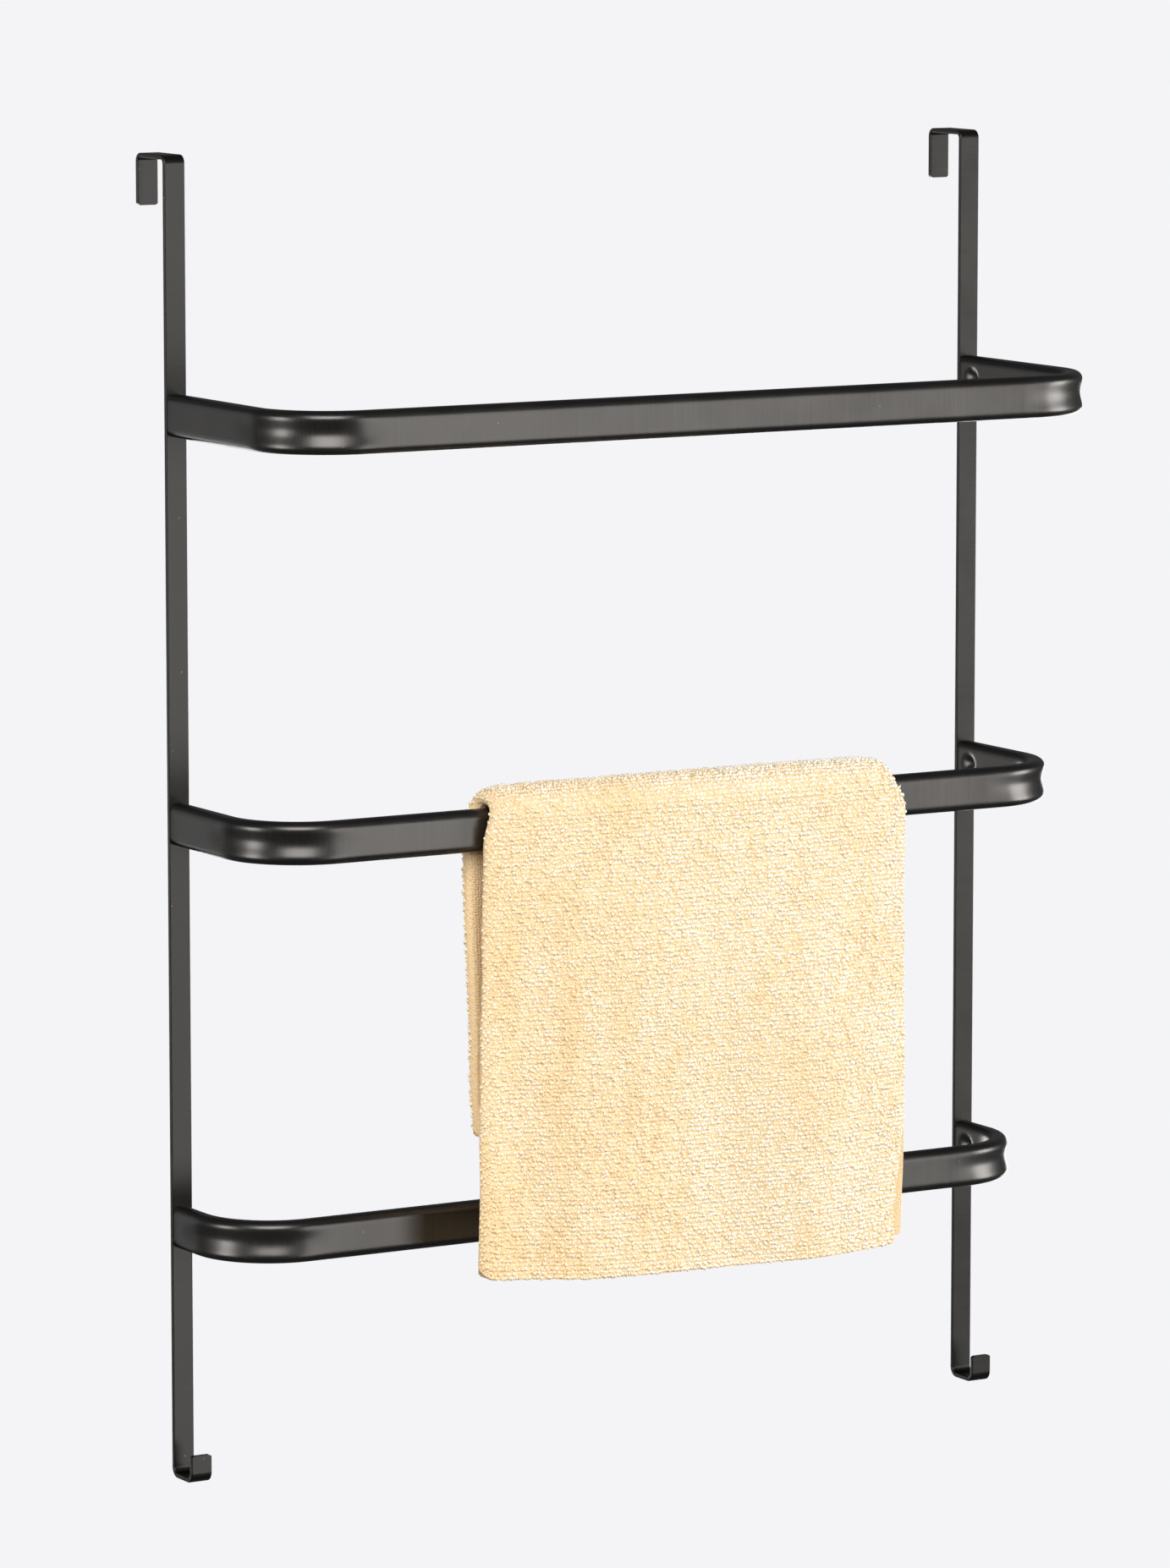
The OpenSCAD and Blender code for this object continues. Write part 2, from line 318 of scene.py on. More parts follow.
def moulded_nylon():
    """Black moulded nylon: dull, with the fine spark-eroded grain of its mould."""
    material, tree, shader = new_material("moulded_nylon")
    place = add_node(tree, "ShaderNodeTexCoord").outputs["Object"]
    grain = add_node(tree, "ShaderNodeTexNoise", None,
                     {"Vector": place, "Scale": 1 / MOULD_GRAIN, "Detail": 3.0})
    tone = add_node(tree, "ShaderNodeMix", {"data_type": "RGBA"},
                    {0: grain.outputs[0], 6: linear("#1e1e1f"), 7: linear("#333335")})
    tree.links.new(tone.outputs[2], shader.inputs["Base Color"])
    bump = add_node(tree, "ShaderNodeBump", None,
                    {"Height": grain.outputs[0], "Distance": 0.05 * MM, "Strength": 0.5})
    tree.links.new(bump.outputs[0], shader.inputs["Normal"])
    shader.inputs["Roughness"].default_value = 0.6
    return material


def terry_ground(settings):
    """Cotton terry's ground cloth and short inner loops: matt, with a small knobbly relief, and
    painted darker than the loops that stand on it, darkest between its knobs, as painted shade
    between the loops. Reads the cloth's own UV map, in metres."""
    material, tree, shader = new_material("cotton_terry_ground")
    cloth = add_node(tree, "ShaderNodeUVMap", {"uv_map": "cloth"}).outputs[0]
    knobs = add_node(tree, "ShaderNodeTexVoronoi", {"voronoi_dimensions": "2D"},
                     {"Vector": cloth, "Scale": 1 / settings.loop_spacing, "Randomness": 0.55})
    height = add_node(tree, "ShaderNodeMapRange", None,
                      {"Value": knobs.outputs["Distance"], "From Min": 0.1, "From Max": 0.7,
                       "To Min": 1.0, "To Max": 0.0})
    fibre = add_node(tree, "ShaderNodeTexNoise", {"noise_dimensions": "2D"},
                     {"Vector": cloth, "Scale": 4 / settings.loop_spacing, "Detail": 3.0})
    surface = add_node(tree, "ShaderNodeMath", {"operation": "MULTIPLY_ADD"},
                       {0: fibre.outputs[0], 1: 0.5, 2: height.outputs[0]})
    # Painted shade: the ground goes from the shade colour in the hollows between knobs to the yarn colour on
    # them
    colour = add_node(tree, "ShaderNodeMix", {"data_type": "RGBA"},
                      {0: surface.outputs[0], 6: tuple(settings.shade), 7: tuple(settings.colour)})
    tree.links.new(colour.outputs[2], shader.inputs["Base Color"])
    bump = add_node(tree, "ShaderNodeBump", None,
                    {"Height": surface.outputs[0], "Distance": 0.6 * MM, "Strength": 0.8})
    tree.links.new(bump.outputs[0], shader.inputs["Normal"])
    shader.inputs["Roughness"].default_value = 0.95
    shader.inputs["Specular IOR Level"].default_value = 0.15
    return material


def terry_loops(settings):
    """Cotton terry's standing yarn loops: pale and matt, with a soft sheen at grazing angles.
    Each loop has its own tint, and cloudy patches show where the pile lies another way. The
    loops are also painted paler away from the towel's folded edge. This is painted light, standing in
    for brighter light on the side away from the fold. These and the yarn's fibres are added up, the
    patches with the largest weight, and the sum says how far a spot is from the cloth's colour to its pale
    one."""
    material, tree, shader = new_material("cotton_terry_loops")
    place = add_node(tree, "ShaderNodeTexCoord").outputs["Object"]
    tint = add_node(tree, "ShaderNodeAttribute", {"attribute_name": "tint"}).outputs["Fac"]
    lay = add_node(tree, "ShaderNodeVectorMath", {"operation": "DIVIDE"},
                   {0: place, 1: PILE_PATCH})
    patch = add_node(tree, "ShaderNodeTexNoise", None,
                     {"Vector": lay.outputs[0], "Scale": 1.0, "Detail": 4.0, "Roughness": 0.6})
    fibre = add_node(tree, "ShaderNodeTexNoise", None,
                     {"Vector": place, "Scale": 1 / YARN_FIBRE, "Detail": 2.0})
    cloudy = add_node(tree, "ShaderNodeMath", {"operation": "MULTIPLY_ADD"},
                      {0: patch.outputs[0], 1: 3.6, 2: tint})
    low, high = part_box("towel")
    side = add_node(tree, "ShaderNodeSeparateXYZ", None, {0: place})
    # Painted light: the loops grow paler along X, away from the fold, standing in for brighter light on that
    # side
    painted_light = add_node(tree, "ShaderNodeMapRange", None,
                       {"Value": side.outputs["X"], "From Min": low.x, "From Max": high.x,
                        "To Min": -0.45, "To Max": 0.45})
    patches_and_painted_light = add_node(tree, "ShaderNodeMath", {"operation": "ADD"},
                    {0: cloudy.outputs[0], 1: painted_light.outputs[0]})
    mixed = add_node(tree, "ShaderNodeMath", {"operation": "MULTIPLY_ADD"},
                     {0: fibre.outputs[0], 1: 0.8, 2: patches_and_painted_light.outputs[0]})
    share = add_node(tree, "ShaderNodeMapRange", None,
                     {"Value": mixed.outputs[0], "From Min": 1.65, "From Max": 3.35})
    colour = add_node(tree, "ShaderNodeMix", {"data_type": "RGBA"},
                      {0: share.outputs[0], 6: tuple(settings.colour), 7: tuple(settings.pale)})
    tree.links.new(colour.outputs[2], shader.inputs["Base Color"])
    shader.inputs["Roughness"].default_value = 0.9
    shader.inputs["Specular IOR Level"].default_value = 0.15
    shader.inputs["Sheen Weight"].default_value = 0.2
    shader.inputs["Sheen Roughness"].default_value = 0.5
    return material


# ---- Metal pieces ----------------------------------------------------------------------

# Points that round a bend of the tube's centre line and a corner of its section, before both
# are spaced evenly, and the number of faces round the section after that
BEND_POINTS = 32
CORNER_POINTS = 8
SECTION_FACES = 60
# Faces round a drilled hole
HOLE_FACES = 32
# Angle in degrees past which an edge of a tube or of the cloth is sharp
TUBE_SHARP_ANGLE = 50
CLOTH_SHARP_ANGLE = 60


def set_finish(node, material):
    """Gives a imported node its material, on the object's own slots."""
    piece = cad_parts[node]
    if not piece.material_slots:
        piece.data.materials.append(material)
    for slot in piece.material_slots:
        slot.link = "OBJECT"
        slot.material = material


class RACK_OT_strips(bpy.types.Operator):
    """Coats the two bent strips"""

    bl_idname = "rack.strips"
    bl_label = "Finish Strips"

    def execute(self, context):
        steel = context.scene.rack_steel
        streak = (STREAK_LENGTH, STREAK_LENGTH, steel.streak_spacing)
        coat = coated_steel("coated_strip_steel", steel.strip_colour, streak, steel.grain_size)
        for node in STRIPS:
            set_finish(node, coat)
        return {"FINISHED"}


class RACK_OT_fixings(bpy.types.Operator):
    """Finishes the inserts in the tube ends and the countersunk screws"""

    bl_idname = "rack.fixings"
    bl_label = "Finish Fixings"

    def execute(self, context):
        finishes = {"insert": moulded_nylon(), "screw": zinc_plate()}
        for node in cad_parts:
            kind = node.rsplit("_", 1)[-1]
            if kind in finishes:
                set_finish(node, finishes[kind])
        return {"FINISHED"}


def new_geometry_tree(name, sizes):
    """A Geometry Nodes tree with a named length input for each of sizes and one for the
    material. Gives the tree, the inputs as sockets and the output's sockets."""
    tree = bpy.data.node_groups.new(name, "GeometryNodeTree")
    tree.interface.new_socket("Geometry", in_out="INPUT", socket_type="NodeSocketGeometry")
    tree.interface.new_socket("Geometry", in_out="OUTPUT", socket_type="NodeSocketGeometry")
    for label, size in sizes.items():
        socket = tree.interface.new_socket(label, in_out="INPUT", socket_type="NodeSocketFloat")
        socket.default_value = size
    tree.interface.new_socket("Material", in_out="INPUT", socket_type="NodeSocketMaterial")
    given = add_node(tree, "NodeGroupInput").outputs
    return tree, given, add_node(tree, "NodeGroupOutput").inputs


def end_geometry_tree(tree, made, given, result):
    """Ends a tree with real geometry in its material."""
    real = add_node(tree, "GeometryNodeRealizeInstances", None, {0: made})
    painted = add_node(tree, "GeometryNodeSetMaterial", None,
                       {"Geometry": real.outputs[0], "Material": given["Material"]})
    tree.links.new(painted.outputs[0], result["Geometry"])


def run_geometry_tree(piece, tree, values):
    """Runs a tree on a piece with values for its inputs, and keeps the plain mesh it makes."""
    modifier = piece.modifiers.new(tree.name, "NODES")
    modifier.node_group = tree
    for item in tree.interface.items_tree:
        if item.in_out == "INPUT" and item.name in values:
            modifier[item.identifier] = values[item.name]
    apply_modifiers(piece)


def press_along_bends(tree, given, end, height, side):
    """How far the outer wall is pressed in: a groove that fades out past both ends of a bend.
    end is the distance from the strip, height and side are measured from the tube's middle."""
    past = add_node(tree, "ShaderNodeMath", {"operation": "SUBTRACT"}, {0: end, 1: given["Bend middle"]})
    away = add_node(tree, "ShaderNodeMath", {"operation": "ABSOLUTE"}, {0: past.outputs[0]})
    along = add_node(tree, "ShaderNodeMapRange", {"interpolation_type": "SMOOTHSTEP"},
                     {"Value": away.outputs[0], "From Min": given["Groove far end"],
                      "From Max": given["Groove full end"]})
    across = add_node(tree, "ShaderNodeMapRange", {"interpolation_type": "SMOOTHSTEP"},
                      {"Value": height, "From Min": given["Groove half height"], "From Max": 0.0})
    outer = add_node(tree, "ShaderNodeMapRange", {"interpolation_type": "SMOOTHSTEP"},
                     {"Value": side, "From Min": 0.0, "From Max": given["Half depth"]})
    share = add_node(tree, "ShaderNodeMath", {"operation": "MULTIPLY"},
                     {0: along.outputs[0], 1: across.outputs[0]})
    share = add_node(tree, "ShaderNodeMath", {"operation": "MULTIPLY"},
                     {0: share.outputs[0], 1: outer.outputs[0]})
    return add_node(tree, "ShaderNodeMath", {"operation": "MULTIPLY"},
                    {0: share.outputs[0], 1: given["Groove depth"]}).outputs[0]


def press_pockets(tree, given, end, height, side):
    """How far the inner wall is pressed out at the round pocket near each strip."""
    past = add_node(tree, "ShaderNodeMath", {"operation": "SUBTRACT"}, {0: end, 1: given["Pocket offset"]})
    off = add_node(tree, "ShaderNodeCombineXYZ", None, {"X": past.outputs[0], "Y": height})
    reach = add_node(tree, "ShaderNodeVectorMath", {"operation": "LENGTH"}, {0: off.outputs[0]})
    dent = add_node(tree, "ShaderNodeMapRange", {"interpolation_type": "SMOOTHSTEP"},
                    {"Value": reach.outputs["Value"], "From Min": given["Pocket radius"], "From Max": 0.0})
    inner = add_node(tree, "ShaderNodeMapRange", {"interpolation_type": "SMOOTHSTEP"},
                     {"Value": side, "From Min": 0.0, "From Max": given["Half depth"]})
    share = add_node(tree, "ShaderNodeMath", {"operation": "MULTIPLY"},
                     {0: dent.outputs[0], 1: inner.outputs[0]})
    return add_node(tree, "ShaderNodeMath", {"operation": "MULTIPLY"},
                    {0: share.outputs[0], 1: given["Pocket depth"]}).outputs[0]


def rail_tree(sizes):
    """Sweeps the tube's rounded section along its bent centre line, then presses in the groove
    that bending leaves in the outer wall and the pocket in the inner wall of each arm."""
    tree, given, result = new_geometry_tree("bent_tube", sizes)
    line = add_node(tree, "GeometryNodeMeshToCurve", None, {0: given["Geometry"]})
    bent = add_node(tree, "GeometryNodeFilletCurve", {"mode": "POLY"},
                    {"Curve": line.outputs[0], "Count": BEND_POINTS, "Radius": given["Centre radius"]})
    path = add_node(tree, "GeometryNodeResampleCurve", {"mode": "LENGTH"},
                    {"Curve": bent.outputs[0], "Length": given["Step"]})
    upright = add_node(tree, "GeometryNodeSetCurveNormal", {"mode": "Z_UP"},
                       {"Curve": path.outputs[0]})
    tangent = add_node(tree, "GeometryNodeInputTangent").outputs[0]
    outward = add_node(tree, "ShaderNodeVectorMath", {"operation": "CROSS_PRODUCT"},
                       {0: tangent, 1: (0, 0, 1)})
    run = add_node(tree, "GeometryNodeSplineParameter").outputs["Length"]
    total = add_node(tree, "GeometryNodeSplineLength").outputs["Length"]
    back = add_node(tree, "ShaderNodeMath", {"operation": "SUBTRACT"}, {0: total, 1: run})
    end = add_node(tree, "ShaderNodeMath", {"operation": "MINIMUM"}, {0: run, 1: back.outputs[0]})
    place = add_node(tree, "GeometryNodeInputPosition").outputs[0]
    held = add_node(tree, "GeometryNodeCaptureAttribute", {"domain": "POINT"})
    for kind, label, socket in (("VECTOR", "Centre", place), ("VECTOR", "Outward", outward.outputs[0]),
                                ("FLOAT", "From strip", end.outputs[0])):
        held.capture_items.new(kind, label)
        tree.links.new(socket, held.inputs[label])
    tree.links.new(upright.outputs[0], held.inputs[0])
    outline = add_node(tree, "GeometryNodeCurvePrimitiveQuadrilateral", None,
                       {"Width": given["Depth"], "Height": given["Height"]})
    rounded = add_node(tree, "GeometryNodeFilletCurve", {"mode": "POLY"},
                       {"Curve": outline.outputs[0], "Count": CORNER_POINTS, "Radius": given["Edge radius"]})
    section = add_node(tree, "GeometryNodeResampleCurve", {"mode": "COUNT"},
                       {"Curve": rounded.outputs[0], "Count": SECTION_FACES})
    tube = add_node(tree, "GeometryNodeCurveToMesh", None,
                    {"Curve": held.outputs[0], "Profile Curve": section.outputs[0]})
    offset = add_node(tree, "ShaderNodeVectorMath", {"operation": "SUBTRACT"},
                      {0: place, 1: held.outputs["Centre"]})
    rise = add_node(tree, "ShaderNodeSeparateXYZ", None, {0: offset.outputs[0]})
    height = add_node(tree, "ShaderNodeMath", {"operation": "ABSOLUTE"}, {0: rise.outputs["Z"]})
    side = add_node(tree, "ShaderNodeVectorMath", {"operation": "DOT_PRODUCT"},
                    {0: offset.outputs[0], 1: held.outputs["Outward"]})
    inward = add_node(tree, "ShaderNodeMath", {"operation": "MULTIPLY"}, {0: side.outputs["Value"], 1: -1.0})
    groove = press_along_bends(tree, given, held.outputs["From strip"], height.outputs[0],
                               side.outputs["Value"])
    pocket = press_pockets(tree, given, held.outputs["From strip"], height.outputs[0], inward.outputs[0])
    press = add_node(tree, "ShaderNodeMath", {"operation": "SUBTRACT"}, {0: pocket, 1: groove})
    move = add_node(tree, "ShaderNodeVectorMath", {"operation": "SCALE"},
                    {0: held.outputs["Outward"], "Scale": press.outputs[0]})
    pressed = add_node(tree, "GeometryNodeSetPosition", None,
                       {"Geometry": tube.outputs[0], "Offset": move.outputs[0]})
    end_geometry_tree(tree, pressed.outputs[0], given, result)
    return tree


def face_outwards(mesh):
    """Turns a tube's faces so that they look away from it."""
    made = bmesh.new()
    made.from_mesh(mesh)
    bmesh.ops.recalc_face_normals(made, faces=made.faces)
    if made.calc_volume(signed=True) < 0:
        bmesh.ops.reverse_faces(made, faces=made.faces)
    made.to_mesh(mesh)
    made.free()


def shade_smooth(mesh, sharp_angle):
    """Smooth shading, with sharp edges where faces meet at more than the angle in degrees."""
    mesh.polygons.foreach_set("use_smooth", [True] * len(mesh.polygons))
    mesh.set_sharp_from_angle(angle=math.radians(sharp_angle))


def drill(low, high, radius):
    """A helper cylinder along X for cutting a hole."""
    tool = bmesh.new()
    bmesh.ops.create_cone(tool, cap_ends=True, segments=HOLE_FACES, radius1=radius, radius2=radius,
                          depth=high.x - low.x)
    bmesh.ops.rotate(tool, verts=tool.verts, matrix=Matrix.Rotation(math.pi / 2, 3, "Y"))
    bmesh.ops.translate(tool, verts=tool.verts, vec=(low + high) / 2)
    mesh = bpy.data.meshes.new("drill")
    tool.to_mesh(mesh)
    tool.free()
    return make_object("drill", mesh)


def cut_out(piece, tool):
    """Cuts a helper's shape out of a piece."""
    cut = piece.modifiers.new("cut", "BOOLEAN")
    cut.operation = "DIFFERENCE"
    cut.solver = "MANIFOLD"
    cut.object = tool
    apply_modifiers(piece)
    remove_object(tool)


class RACK_OT_rails(bpy.types.Operator):
    """Makes the three bent tube rails, with their grooves, pockets and drain holes"""

    bl_idname = "rack.rails"
    bl_label = "Make Rails"

    def execute(self, context):
        steel, rail = context.scene.rack_steel, context.scene.rack_rails
        streak = (steel.streak_spacing, steel.streak_spacing, STREAK_LENGTH)
        coat = coated_steel("coated_rail_steel", steel.rail_colour, streak, steel.grain_size)
        half_depth = rail.tube_depth / 2
        tree = None
        for node in RAILS:
            low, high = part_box(node)
            centre_x = high.x - half_depth
            centre_y = low.y + half_depth
            centre_z = (low.z + high.z) / 2
            centre_radius = rail.bend_radius - half_depth
            bend_start = high.y - low.y - rail.bend_radius
            half_bend = centre_radius * math.pi / 4
            sizes = {"Depth": rail.tube_depth, "Half depth": half_depth, "Height": high.z - low.z,
                     "Edge radius": rail.edge_radius, "Centre radius": centre_radius,
                     "Bend middle": bend_start + half_bend,
                     "Groove full end": half_bend - rail.groove_run_out,
                     "Groove far end": half_bend + rail.groove_run_out,
                     "Groove depth": rail.groove_depth, "Groove half height": rail.groove_height / 2,
                     "Pocket offset": rail.pocket_offset, "Pocket radius": rail.pocket_radius,
                     "Pocket depth": rail.pocket_depth, "Step": rail.step}
            tree = tree or rail_tree(sizes)
            line = bpy.data.meshes.new(node + "_line")
            corners = [(-centre_x, high.y), (-centre_x, centre_y), (centre_x, centre_y), (centre_x, high.y)]
            line.from_pydata([(x, y, centre_z) for x, y in corners], [(0, 1), (1, 2), (2, 3)], [])
            tube = make_object(node + "_tube", line)
            run_geometry_tree(tube, tree, {**sizes, "Material": coat})
            face_outwards(tube.data)
            wall = tube.modifiers.new("wall", "SOLIDIFY")
            wall.thickness = rail.wall
            wall.offset = -1
            apply_modifiers(tube)
            hole_y = high.y - rail.pocket_offset - rail.hole_offset
            wall_x = centre_x - half_depth + rail.pocket_depth + rail.wall
            for side in SIDES:
                ends = [Vector((side * x, hole_y, centre_z)) for x in (wall_x, wall_x - 2 * rail.tube_depth)]
                ends.sort(key=lambda end: end.x)
                cut_out(tube, drill(*ends, rail.hole_radius))
            shade_smooth(tube.data, TUBE_SHARP_ANGLE)
            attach(tube, "rack")
            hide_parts(node)
        return {"FINISHED"}


# ---- Towel -----------------------------------------------------------------------------

# About how far the cloth runs from the rail's top to its two hems: what its faces and its rows of
# loops are spaced by, and the scale of its UV map
FRONT_RUN = 270 * MM
BACK_RUN = 195 * MM
# The part of each run over the rail, where the faces are shorter, and how many it has
CROWN_RUN = 24 * MM
CROWN_FACES = 12
# Faces round a quarter of the side fold
FOLD_FACES = 4
# X of the lowest point of the front hem, how far away its bow is measured, and how much lower
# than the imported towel's hem it is there
HEM_LOW_X = 30 * MM
HEM_BOW_REACH = 110 * MM
HEM_DIP = 1.5 * MM
# The back hem's ripple: its height, and its length over 2 pi
RIPPLE = 1.5 * MM
RIPPLE_LENGTH = 40 * MM
# How far in from the fold the inner layer's hem reaches its full step
STEP_REACH = 60 * MM
# How far the fold and the free edges are drawn in over the rail, and how far down that goes
FOLD_DRAWN = 5 * MM
FREE_DRAWN = 9 * MM
DRAWN_REACH = 24 * MM
# How far the fold and the free edges have moved at the hem: out in front and in behind for the
# fold, and in for the free edges
FOLD_FLARE = 2.5 * MM
BACK_FOLD_FLARE = -7.5 * MM
FREE_TAPER = 3 * MM
# How far the outer layer's free edge is drawn in at the front hem, and the inner one stands out
OUTER_TUCK = 5 * MM
INNER_SHOW = 4.5 * MM
# Wander of both edges to the sides: its width, and its length down the towel
WANDER = 1.2 * MM
WANDER_LENGTH = 45 * MM
# Waves: their lengths across and down the towel, and the heights of the two kinds of fold as
# shares of the wave's own. The slump is small dents, with a height of its own
LONG_FOLD = (85 * MM, 330 * MM)
SHORT_FOLD = (30 * MM, 90 * MM)
SLUMP = (14 * MM, 18 * MM)
LONG_SHARE = 1.5
SHORT_SHARE = 0.35
SLUMP_HEIGHT = 0.35 * MM
# The least that the cloth's path stands off the rail, and how far a wave in the back half may
# push the cloth forward, under the rail
LEAST_SKIN = 0.5 * MM
LEAST_PUSH = -1.0 * MM
# Half a loop's width as a share of the spacing along a row, and half its length as a share of the
# spacing of rows. Both are over a half, so that loops overlap and hide the ground cloth
HALF_WIDTH_SHARE = 0.62
HALF_LENGTH_SHARE = 0.6


class Drape:
    """Where each point of the towel lies: folded in half along its left side, then hung over
    the middle rail. across runs over the cloth's width from the fold, positive in the outer
    layer. hang is how far a point lies below the top of its own layer."""

    def __init__(self, towel, rail):
        low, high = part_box("middle_rail")
        cad_low, cad_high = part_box("towel")
        self.towel = towel
        self.centre_y = low.y + rail.tube_depth / 2
        self.centre_z = (low.z + high.z) / 2
        self.flat = rail.tube_depth / 2 - rail.edge_radius
        self.rise = (high.z - low.z) / 2 - rail.edge_radius
        self.edge_radius = rail.edge_radius
        self.left = cad_low.x
        self.right = cad_high.x
        self.front_hem = cad_low.z
        self.middle_skin = towel.rail_gap + towel.layer / 2 + towel.fold_radius
        self.half_width = towel.width / 2

    def crown_radius(self, skin):
        """Radius of a layer's path round the rail's edges."""
        return self.edge_radius + skin

    def drop_start(self, skin):
        """Length of a layer's path from the rail's top to where it starts to hang straight."""
        return self.flat + self.crown_radius(skin) * math.pi / 2

    def section(self, along, skin):
        """The point and the outward direction, in Y and Z about the rail's centre, at along on
        a path that lies skin off the rail. along is positive to the front."""
        radius = self.crown_radius(skin)
        side = -1 if along >= 0 else 1
        run = abs(along)
        if run < self.flat:
            return side * run, self.rise + radius, 0.0, 1.0
        turn = min((run - self.flat) / radius, math.pi / 2)
        out, up = math.sin(turn), math.cos(turn)
        drop = max(0.0, run - self.drop_start(skin))
        return side * (self.flat + radius * out), self.rise + radius * up - drop, side * out, up

    def hem(self, x, front, outer):
        """Height of the hem below the rail's centre at x: bowed in front and rippled behind, with
        a round corner at the fold. The inner layer's hem steps up, away from the fold."""
        towel = self.towel
        if front:
            bow = ((x - HEM_LOW_X) / HEM_BOW_REACH) ** 2
            drop = self.centre_z - self.front_hem + HEM_DIP - towel.hem_bow * bow
        else:
            drop = towel.back_drop + RIPPLE * math.sin(x / RIPPLE_LENGTH)
        if not outer:
            drop -= towel.hem_step * smoothstep(0, STEP_REACH, x - self.left)
        past = max(0.0, self.left + towel.hem_corner - x)
        return drop - towel.hem_corner + math.sqrt(max(0.0, towel.hem_corner ** 2 - past ** 2))

    def edges(self, hang, front, outer):
        """X of the fold and of a layer's free edge."""
        drawn = 1 - smoothstep(0, DRAWN_REACH, hang)
        down = smoothstep(20 * MM, 240 * MM, hang)
        seed = 3.0 if front else 8.0
        wander = noise.noise(Vector((hang / WANDER_LENGTH, seed, 0))) * WANDER
        flare = FOLD_FLARE if front else BACK_FOLD_FLARE
        left = self.left + FOLD_DRAWN * drawn - flare * down + wander
        right = self.right - FREE_DRAWN * drawn - FREE_TAPER * down + wander
        if front and outer:
            right -= OUTER_TUCK * smoothstep(185 * MM, 245 * MM, hang)
        elif front:
            right += INNER_SHOW * smoothstep(60 * MM, 240 * MM, hang)
        return left, right

    def wave(self, x, hang, front):
        """How far the cloth stands forward of its plane: long soft folds that grow downwards,
        shorter ones on them, and small dents all over."""
        grown = smoothstep(15 * MM, 200 * MM, hang)
        seed = 1.7 if front else 6.1
        long_fold = noise.noise(Vector((x / LONG_FOLD[0], hang / LONG_FOLD[1], seed)))
        short_fold = noise.noise(Vector((x / SHORT_FOLD[0], hang / SHORT_FOLD[1], seed + 4)))
        slump = noise.noise(Vector((x / SLUMP[0], hang / SLUMP[1], seed + 9)))
        folds = LONG_SHARE * long_fold + SHORT_SHARE * short_fold
        return self.towel.wave * grown * folds + SLUMP_HEIGHT * slump

    def push(self, from_left, from_right, x, hang, front, outer):
        """How far a point is pushed outwards: the crown over the rail, flatter at both ends,
        the waves, and the gape between the layers' free edges."""
        swell = self.towel.crown * (1 - smoothstep(2 * MM, 20 * MM, hang))
        swell *= smoothstep(0, 18 * MM, from_right) * smoothstep(-4 * MM, 14 * MM, from_left)
        wave = self.wave(x, hang, front) * (1 if front else -1)
        push = swell + wave * smoothstep(0, 30 * MM, hang)
        if outer:
            near_edge = 1 - smoothstep(0, 60 * MM, from_right)
            push += self.towel.gape * smoothstep(60 * MM, 240 * MM, hang) * near_edge
        return push if front else max(push, LEAST_PUSH)

    def point(self, across, share, lift=0.0):
        """The place and outward direction of a point. share runs from -1 at the back hem over
        0 on the rail to 1 at the front hem. lift moves it outwards from mid layer."""
        radius = self.towel.fold_radius
        quarter = radius * math.pi / 2
        front = share >= 0
        outer = across >= 0
        layer = 1 if outer else -1
        turn = min(abs(across) / radius, math.pi / 2)
        rim = radius + lift * layer
        beside = radius - rim * math.cos(turn) + max(0.0, abs(across) - quarter)
        reach = radius + self.half_width - quarter
        skin = max(self.middle_skin + rim * math.sin(turn) * layer, LEAST_SKIN)
        hem_x = self.left + beside / reach * (self.right - self.left)
        along = share * (self.drop_start(skin) + self.rise + self.hem(hem_x, front, outer))
        y, z, out_y, out_z = self.section(along, skin)
        hang = self.rise + self.crown_radius(skin) - z
        left, right = self.edges(hang, front, outer)
        if beside < radius:
            x = left + beside
        else:
            x = left + radius + (beside - radius) / (reach - radius) * (right - left - radius)
        push = self.push(x - left, right - x, x, hang, front, outer)
        place = Vector((x, self.centre_y + y + out_y * push, self.centre_z + z + out_z * push))
        facing = math.sin(turn) * layer
        sideways = math.cos(turn) if abs(across) < quarter else 0.0
        return place, Vector((-sideways, out_y * facing, out_z * facing)).normalized()


def grid_mesh(name, rows):
    """A mesh of four-sided faces from rows of points of equal number."""
    count = len(rows[0])
    faces = [(i * count + j, i * count + j + 1, (i + 1) * count + j + 1, (i + 1) * count + j)
             for i in range(len(rows) - 1) for j in range(count - 1)]
    mesh = bpy.data.meshes.new(name)
    mesh.from_pydata([point for row in rows for point in row], [], faces)
    return mesh


def cloth_widths(towel):
    """Distances from the fold across the towel: even, and closer together round the fold."""
    quarter = towel.fold_radius * math.pi / 2
    near = [quarter * i / FOLD_FACES for i in range(FOLD_FACES + 1)]
    count = round((towel.width / 2 - quarter) / towel.cell)
    far = [quarter + (towel.width / 2 - quarter) * (i + 1) / count for i in range(count)]
    one_side = near + far
    return [-value for value in reversed(one_side[1:])] + one_side


def cloth_shares(run, cell):
    """Shares of the way from the rail's top to a hem, closer together over the crown."""
    near = [CROWN_RUN * i / CROWN_FACES / run for i in range(CROWN_FACES)]
    count = round((run - CROWN_RUN) / cell)
    return near + [(CROWN_RUN + (run - CROWN_RUN) * i / count) / run for i in range(count + 1)]


